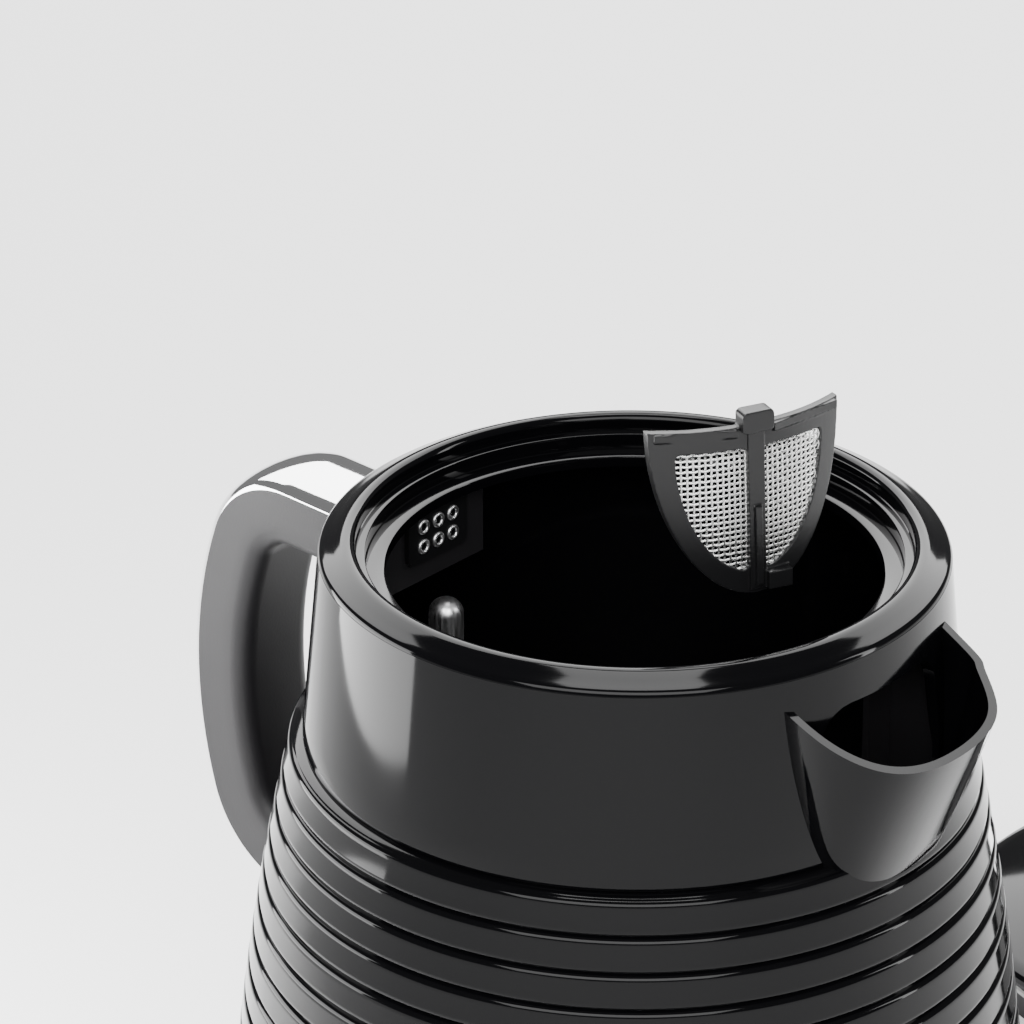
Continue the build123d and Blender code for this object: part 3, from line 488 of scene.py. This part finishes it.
# Bevels on the edges of these mouldings, by node.
SOFT_EDGES = {
    "spout": 0.55 * MM,
    "switch_lever": 0.3 * MM,
    "base_socket": 0.2 * MM,
    "cord_gland": 0.3 * MM,
}
SHARP_EDGE = 50  # Degrees: only edges sharper than this are bevelled
# Under how many degrees each node's edges are shaded smooth.
MOULDINGS = {
    "spout": 40,
    "steam_hood": 30,
    "steam_vent_plate": 30,
    "steam_tube": 40,
    "element_plate": 30,
    "filter_cradle": 30,
    "switch_lever": 40,
    "indicator_lamp": 40,
    "kettle_connector": 40,
    "bottom_cover": 30,
    "base_shell": 40,
    "base_socket": 40,
    "base_feet": 30,
    "base_centre_foot": 30,
    "cord_gland": 30,
    "lid_inner": 30,
    "lid_seal": 35,
    "lid_cover": 40,
    "lid_knob": 40,
    "lid_screw": 30,
}


def soften(piece, width):
    """Round a moulding's sharp edges a little."""
    choose(piece)
    modifier = piece.modifiers.new("soft_edges", "BEVEL")
    modifier.width = width
    modifier.segments = 3
    modifier.limit_method = "ANGLE"
    modifier.angle_limit = math.radians(SHARP_EDGE)
    modifier.use_clamp_overlap = True
    bpy.ops.object.modifier_apply(modifier=modifier.name)
    bpy.ops.object.shade_smooth_by_angle(angle=math.radians(ROUND_EDGE))


class KETTLE_OT_mouldings(bpy.types.Operator):
    """Smooth, closed copies of the moulded and drawn parts that keep their CAD shape"""

    bl_idname = "kettle.mouldings"
    bl_label = "Mouldings"

    def execute(self, context):
        for name, angle in MOULDINGS.items():
            piece = merged_copy(name, angle)
            if name in SOFT_EDGES:
                soften(piece, SOFT_EDGES[name])
            bind(piece, name)
        return {"FINISHED"}


class KettleHandle(bpy.types.PropertyGroup):
    """The loop handle's section."""

    half_width: FloatProperty(
        name="Half width", description="Across the handle", default=10.5 * MM, unit="LENGTH"
    )
    band: FloatProperty(
        name="Band", description="Thickness of the chrome band", default=3.2 * MM, unit="LENGTH"
    )
    grip: FloatProperty(
        name="Grip", description="Depth of the grip behind it", default=13.0 * MM, unit="LENGTH"
    )
    inner_round: FloatProperty(
        name="Inner rounding",
        description="Of the grip's edges towards the hand",
        default=4.2 * MM,
        unit="LENGTH",
    )


# The handle's outer outline leaves the wall on a short straight, then turns down through three bends.
HANDLE_HEADING = 178.0  # Degrees from +X to +Z
HANDLE_STRAIGHT = 26.5 * MM
HANDLE_ROOT = 6.0 * MM  # How much of the straight is inside the wall
HANDLE_START = Vector(
    (-64.0 * MM, 0, RIM - 10.3 * MM + HANDLE_ROOT * math.sin(math.radians(180 - HANDLE_HEADING)))
)
# Each bend's radius in mm, its degrees and its steps.
HANDLE_BENDS = ((23.7, 72.0, 20), (102.8, 36.3, 16), (28.0, 47.7, 16))
HANDLE_SINK = 1.2 * MM  # How far its ends go into the wall
STRAY = 20 * MM  # A sweep that ends further off its path than this has gone wrong
WALL_SEARCH = (-30.0 * MM, 60.0 * MM)  # Where the wall is looked for along a direction
HALVINGS = 40
CROWN_STEPS = 12
CORNER_STEP = 15  # Degrees between the points of the grip's rounding


def ahead_of(direction):
    """Unit vector along a direction in degrees from +X to +Z."""
    turn = math.radians(direction)
    return Vector((math.cos(turn), 0, math.sin(turn)))


def inward_of(direction):
    """Unit vector to the inner side of a path that runs in a direction, in degrees from +X to +Z."""
    return ahead_of(direction + 90)


def onto_wall(point, ahead, sink):
    """Move a point along a direction onto the body's wall, sunk in by a little."""
    low, high = WALL_SEARCH
    sign = 1 if abs((point + ahead * high).x) < abs((point + ahead * low).x) else -1
    for _ in range(HALVINGS):
        middle = (low + high) / 2
        spot = point + ahead * middle * sign
        if -spot.x > wall_radius(spot.z) - sink:
            low = middle
        else:
            high = middle
    return point + ahead * low * sign


def settle(piece, place, direction):
    """Square the selected end of a sweep to its path."""
    mesh = bmesh.from_edit_mesh(piece.data)
    inward = inward_of(direction)
    for vertex in (v for v in mesh.verts if v.select):
        inset = (vertex.co - place).dot(inward)
        vertex.co = place + inward * inset + Vector((0, vertex.co.y, 0))
    bmesh.update_edit_mesh(piece.data)


def swept_handle(name, section):
    """Sweep a section of (across, inset) points along the handle's outline by extrude and spin."""
    direction = HANDLE_HEADING
    piece = ring_of_points(name, len(section), "NGON")
    inward = inward_of(direction)
    for vertex, (across, inset) in zip(piece.data.vertices, section):
        spot = HANDLE_START + inward * inset + Vector((0, across, 0))
        vertex.co = onto_wall(spot, -ahead_of(direction), HANDLE_SINK)
    edit(piece, "FACE")
    step = ahead_of(direction) * (HANDLE_STRAIGHT - HANDLE_ROOT)
    bpy.ops.mesh.extrude_region_move(TRANSFORM_OT_translate={"value": step})
    place = HANDLE_START + step
    settle(piece, place, direction)
    for radius, turn, steps in HANDLE_BENDS:
        centre = place + inward_of(direction) * radius * MM
        bpy.ops.mesh.spin(
            steps=steps, angle=math.radians(turn), center=centre, axis=(0, 1, 0), dupli=False
        )
        direction += turn
        place = centre - inward_of(direction) * radius * MM
    bpy.ops.mesh.extrude_region_move(TRANSFORM_OT_translate={"value": ahead_of(direction) * 2 * MM})
    mesh = bmesh.from_edit_mesh(piece.data)
    end = [vertex for vertex in mesh.verts if vertex.select]
    if (sum((vertex.co for vertex in end), Vector()) / len(end) - place).length > STRAY:
        raise RuntimeError("the handle's sweep went off its path")
    for vertex in end:
        vertex.co = onto_wall(vertex.co, ahead_of(direction), HANDLE_SINK)
    bmesh.update_edit_mesh(piece.data)
    finish_mesh(piece, ROUND_EDGE)
    return piece


class KETTLE_OT_handle(bpy.types.Operator):
    """Crowned chrome band over a soft-edged matt grip"""

    bl_idname = "kettle.handle"
    bl_label = "Handle"

    def execute(self, context):
        sizes = context.scene.kettle_handle
        half, band = sizes.half_width, sizes.band
        crown = []
        for step in range(1, CROWN_STEPS):
            angle = math.pi * (step / CROWN_STEPS - 0.5)
            crown.append((half * math.sin(angle), band * (1 - math.cos(angle))))
        section = [(-half, band)] + crown + [(half, band)]
        bind(swept_handle("handle_chrome_band", section), "handle_band")

        depth, round_off = band + sizes.grip, sizes.inner_round
        corner = []
        for degrees in range(0, 91, CORNER_STEP):
            angle = math.radians(degrees)
            corner.append(
                (half - round_off * (1 - math.cos(angle)), depth - round_off * (1 - math.sin(angle)))
            )
        side = [(half, band), (half, (band + depth) / 2)] + corner
        section = side + [(-across, inset) for across, inset in reversed(side)]
        bind(swept_handle("handle_matt_grip", section), "handle_grip")
        return {"FINISHED"}


class KettleFilter(bpy.types.PropertyGroup):
    """The lift-out filter."""

    pitch: FloatProperty(
        name="Weave pitch", description="Between wires", default=1.12 * MM, unit="LENGTH"
    )
    wire: FloatProperty(
        name="Wire", description="Diameter of a wire", default=0.46 * MM, unit="LENGTH"
    )
    softening: FloatProperty(
        name="Softening",
        description="Grid that rounds the frame's edges",
        default=0.24 * MM,
        unit="LENGTH",
    )


# How the raised filter stands: leant towards the handle, turned towards -Y, and bowed.
LEAN, TURN = math.radians(2.6), math.radians(25.4)
FILTER_UP = Vector((-math.sin(LEAN), 0, math.cos(LEAN)))
FILTER_OUT = Vector(
    (math.cos(TURN) * math.cos(LEAN), -math.sin(TURN), math.cos(TURN) * math.sin(LEAN))
)
FILTER_SIDE = FILTER_UP.cross(FILTER_OUT)
FILTER_MIDDLE = Vector((29.7 * MM, 0, RIM + 17.9 * MM))
BOW = 39.0 * MM
SHIELD_TOP = 17.55 * MM
SHIELD_HEIGHT = 35.1 * MM
SHIELD_HALF = 20.0 * MM
BORDER = 4.6 * MM  # Frame round a window
LAP = 0.8 * MM  # How far the woven wire goes in under the frame
BAR_HALF = 1.0 * MM  # Where the wire starts under the centre bar
SHORTEST_ROW = 2.0 * MM
FIRST_COLUMN = 1.2 * MM
COLUMNS, ROWS = 14, 26  # Enough to fill a window; those outside it are left out
MIDDLE_ROW = 12.0
WEAVE_SWING = 0.42  # How far wires swing over and under, in wire diameters


def on_filter(across, up, out):
    """A place on the bowed filter: across its width, up it, and out from its middle surface."""
    swing = math.asin(across / BOW)
    reach = FILTER_OUT * math.cos(swing) + FILTER_SIDE * math.sin(swing)
    return FILTER_MIDDLE - FILTER_OUT * BOW + reach * (BOW + out) + FILTER_UP * up


def shield_half(up, inset):
    """Half width of the shield at a height, set in by a border."""
    drop = (SHIELD_TOP - inset - up) / (SHIELD_HEIGHT - 2 * inset)
    if drop < 0 or drop > 1:
        return 0.0
    return (SHIELD_HALF - inset) * math.sqrt(1 - drop * drop)


# The frame's ribs as spans up, across and out of it, in mm: the centre bar, then the top edge's two.
FILTER_RIBS = (
    ((-15.5, 1.0), (-0.7, 0.7), (0.5, 2.3)),
    ((15.6, 17.3), (3.6, 18.4), (0.4, 1.9)),
    ((15.6, 17.3), (-18.4, -3.6), (0.4, 1.5)),
)


def filter_rib(up, across, out):
    """A bar on the filter that follows its bow."""
    rib = moved_cube(lambda i, j, k: on_filter(across[i] * MM, up[j] * MM, out[k] * MM))
    edit(rib)
    bpy.ops.mesh.normals_make_consistent(inside=False)
    bpy.ops.object.mode_set(mode="OBJECT")
    return rib


def wire_run(curve, points):
    """Add one wire to a curve through its points, unless it is too short to weave."""
    if len(points) < 3:
        return
    spline = curve.splines.new("POLY")
    spline.points.add(len(points) - 1)
    for slot, point in zip(spline.points, points):
        slot.co = (*point, 1.0)


def woven_panel(side, name, sizes):
    """One window's plain weave: wires that pass over and under each other, as bevelled runs."""
    curve = bpy.data.curves.new(name, "CURVE")
    curve.dimensions = "3D"
    curve.bevel_depth = sizes.wire / 2
    curve.bevel_resolution = 1
    curve.use_fill_caps = True
    swing = WEAVE_SWING * sizes.wire
    low, high = -SHIELD_TOP + BORDER - LAP, SHIELD_TOP - BORDER + LAP
    columns = [(i + 0.5) * sizes.pitch + FIRST_COLUMN for i in range(COLUMNS)]
    rows = [(j - MIDDLE_ROW) * sizes.pitch for j in range(ROWS)]
    ends = [shield_half(up, BORDER) + LAP if low < up < high else None for up in rows]

    for j, (up, end) in enumerate(zip(rows, ends)):
        if end is None:
            continue
        end = max(end, SHORTEST_ROW)
        points = [on_filter(side * BAR_HALF, up, 0)]
        for i, across in enumerate(columns):
            if across < end:
                points.append(on_filter(side * across, up, swing if (i + j) % 2 else -swing))
        points.append(on_filter(side * end, up, 0))
        wire_run(curve, points)
    for i, across in enumerate(columns):
        points = []
        for j, (up, end) in enumerate(zip(rows, ends)):
            if end is not None and across < end:
                points.append(on_filter(side * across, up, -swing if (i + j) % 2 else swing))
        wire_run(curve, points)

    panel = bpy.data.objects.new(name, curve)
    bpy.context.scene.collection.objects.link(panel)
    choose(panel)
    bpy.ops.object.convert(target="MESH")
    panel = bpy.context.object
    bpy.ops.object.shade_smooth()
    return panel


class KETTLE_OT_filter(bpy.types.Operator):
    """Soft-edged filter frame with its rib, and two panels of woven wire"""

    bl_idname = "kettle.filter"
    bl_label = "Filter"

    def execute(self, context):
        sizes = context.scene.kettle_filter
        frame_piece = merged_copy("filter_frame", 40)
        join([frame_piece] + [filter_rib(*spans) for spans in FILTER_RIBS])
        frame_piece.data.remesh_voxel_size = sizes.softening
        frame_piece.data.use_remesh_fix_poles = False
        bpy.ops.object.voxel_remesh()
        smooth = frame_piece.modifiers.new("even_out", "SMOOTH")
        smooth.factor = 0.5
        smooth.iterations = 5
        bpy.ops.object.modifier_apply(modifier=smooth.name)
        bpy.ops.object.shade_smooth()
        frame_piece.name = "filter_soft_frame"
        bind(frame_piece, "filter_frame")
        for side, name in ((-1, "filter_mesh_left"), (1, "filter_mesh_right")):
            bind(woven_panel(side, "woven_" + name, sizes), name)
        return {"FINISHED"}


VENT_ACROSS, VENT_UP = (-4.4, 0.0, 4.4), (-2.2, 2.2)  # The vents' places on their plate, in mm
EYELET_RADIUS, EYELET_WIRE = 1.25 * MM, 0.42 * MM


class KETTLE_OT_vent_eyelets(bpy.types.Operator):
    """Small steel eyelets round the steam vents"""

    bl_idname = "kettle.vent_eyelets"
    bl_label = "Vent eyelets"

    def execute(self, context):
        low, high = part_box("steam_vent_plate")
        middle = (low + high) / 2
        rings = []
        for across in VENT_ACROSS:
            for up in VENT_UP:
                bpy.ops.mesh.primitive_torus_add(
                    major_radius=EYELET_RADIUS,
                    minor_radius=EYELET_WIRE,
                    major_segments=24,
                    minor_segments=8,
                    location=(high.x, middle.y + across * MM, middle.z + up * MM),
                    rotation=(0, math.radians(90), 0),
                )
                bpy.ops.object.transform_apply(location=True, rotation=True, scale=True)
                rings.append(context.object)
        join(rings)
        piece = context.object
        piece.name = "vent_eyelets"
        bpy.ops.object.shade_smooth()
        paint(piece, "steel")
        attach(piece, "kettle")
        return {"FINISHED"}


class KETTLE_OT_finishes(bpy.types.Operator):
    """Give every carried-over CAD piece its finish"""

    bl_idname = "kettle.finishes"
    bl_label = "Finishes"

    def execute(self, context):
        FINISHES.update(all_materials())
        for entry in frame["record"]["subparts"]:
            paint(NODES[entry["node"]], entry["material_slot"])
        return {"FINISHED"}


FLOOR_SIZE = 12.0
MOTTLE = 1000 / 3  # mm across a patch of the floor's paint
SENSOR = 36.0
FAR_CLIP = 60.0
WORLD_LIGHT = 0.25
LIGHTS_MIDDLE = Vector((0, 0, 0.12))
# Each light: its place to the camera's right, towards it and up, then its size and its power.
LIGHTS = {
    "light_side_window": ((-0.31, -0.05, 0.03), (0.26, 0.20), 2.4),
    "light_overhead": ((0.0, -0.3, 1.4), (0.5, 0.5), 10),
    "light_back_floor": ((0.0, -1.7, 1.5), (3.2, 1.6), 150),
    "light_front_soft": ((-0.1, 0.9, 0.75), (1.3, 0.9), 34),
    "light_right_strip": ((0.9, 0.1, 0.25), (0.10, 0.8), 4),
}


def soft_box(name, place, aim, size, power):
    """A rectangular area light that looks at a point and isn't seen itself."""
    bpy.ops.object.light_add(type="AREA", location=place)
    light = bpy.context.object
    light.name = name
    light.data.shape = "RECTANGLE"
    light.data.size, light.data.size_y = size
    light.data.energy = power
    light.visible_camera = False
    light.rotation_euler = (aim - place).to_track_quat("-Z", "Y").to_euler()


class KETTLE_OT_stage(bpy.types.Operator):
    """Pale floor, soft studio light and the camera"""

    bl_idname = "kettle.stage"
    bl_label = "Stage"

    def execute(self, context):
        stage = context.scene.kettle_stage
        deselect()
        bpy.ops.mesh.primitive_plane_add(size=FLOOR_SIZE, location=(0, 0, 0))
        floor = context.object
        floor.name = "stage_floor"
        bpy.ops.object.transform_apply(location=True, rotation=True, scale=True)
        material, tree, output, place = new_material("pale_painted_floor")
        mottle = add_node(
            tree, "ShaderNodeTexNoise", {"Scale": per_mm(MOTTLE), "Detail": 2.0}, {"Vector": place}
        )
        rough = add_node(
            tree, "ShaderNodeMapRange", {"To Min": 0.55, "To Max": 0.7}, {"Value": mottle.outputs[0]}
        )
        shader = add_node(
            tree,
            "ShaderNodeBsdfPrincipled",
            {"Base Color": linear(stage.floor_colour), "Specular IOR Level": 0.2},
            {"Roughness": rough.outputs[0]},
        )
        tree.links.new(shader.outputs[0], output.inputs["Surface"])
        floor.data.materials.append(material)

        azimuth, elevation = math.radians(stage.azimuth), math.radians(stage.elevation)
        right = Vector((math.cos(azimuth), math.sin(azimuth), 0))
        front = Vector((math.sin(azimuth), -math.cos(azimuth), 0))
        back = front * math.cos(elevation) + Vector((0, 0, math.sin(elevation)))
        aim = right * stage.aim_side + Vector((0, 0, RIM + stage.aim_rise))
        bpy.ops.object.camera_add(location=aim + back * stage.distance)
        camera = context.object
        camera.rotation_mode = "QUATERNION"
        camera.rotation_quaternion = (-back).to_track_quat("-Z", "Y")
        camera.data.lens = stage.lens
        camera.data.sensor_width = SENSOR
        camera.data.clip_end = FAR_CLIP
        context.scene.camera = camera

        for name, ((side, near, rise), size, power) in LIGHTS.items():
            place = LIGHTS_MIDDLE + right * side + front * near + Vector((0, 0, rise))
            soft_box(name, place, LIGHTS_MIDDLE, size, power)

        world = bpy.data.worlds.new("studio")
        world.use_nodes = True
        background = world.node_tree.nodes["Background"]
        background.inputs["Color"].default_value = (1, 1, 1, 1)
        background.inputs["Strength"].default_value = WORLD_LIGHT
        context.scene.world = world
        return {"FINISHED"}


class KETTLE_PT_panel(bpy.types.Panel):
    """Lists the kettle's building steps in the sidebar"""

    bl_idname = "KETTLE_PT_panel"
    bl_label = "Kettle"
    bl_space_type = "VIEW_3D"
    bl_region_type = "UI"
    bl_category = "Kettle"

    def draw(self, context):
        for step in STEPS:
            self.layout.operator(step.bl_idname)
        for group, kind in GROUPS.items():
            for name in kind.__annotations__:
                self.layout.prop(getattr(context.scene, group), name)


STEPS = (
    KETTLE_OT_finishes,
    KETTLE_OT_body,
    KETTLE_OT_mouldings,
    KETTLE_OT_handle,
    KETTLE_OT_filter,
    KETTLE_OT_vent_eyelets,
    KETTLE_OT_stage,
)
GROUPS = {
    "kettle_body": KettleBody,
    "kettle_handle": KettleHandle,
    "kettle_filter": KettleFilter,
    "kettle_stage": KettleStage,
}


def register():
    for group in GROUPS.values():
        bpy.utils.register_class(group)
    for step in STEPS:
        bpy.utils.register_class(step)
    bpy.utils.register_class(KETTLE_PT_panel)
    for name, group in GROUPS.items():
        setattr(bpy.types.Scene, name, PointerProperty(type=group))


def unregister():
    for name in GROUPS:
        delattr(bpy.types.Scene, name)
    bpy.utils.unregister_class(KETTLE_PT_panel)
    for step in reversed(STEPS):
        bpy.utils.unregister_class(step)
    for group in reversed(list(GROUPS.values())):
        bpy.utils.unregister_class(group)


def main():
    register()
    for step in STEPS:
        family, name = step.bl_idname.split(".")
        getattr(getattr(bpy.ops, family), name)()


if __name__ == "__main__":
    main()
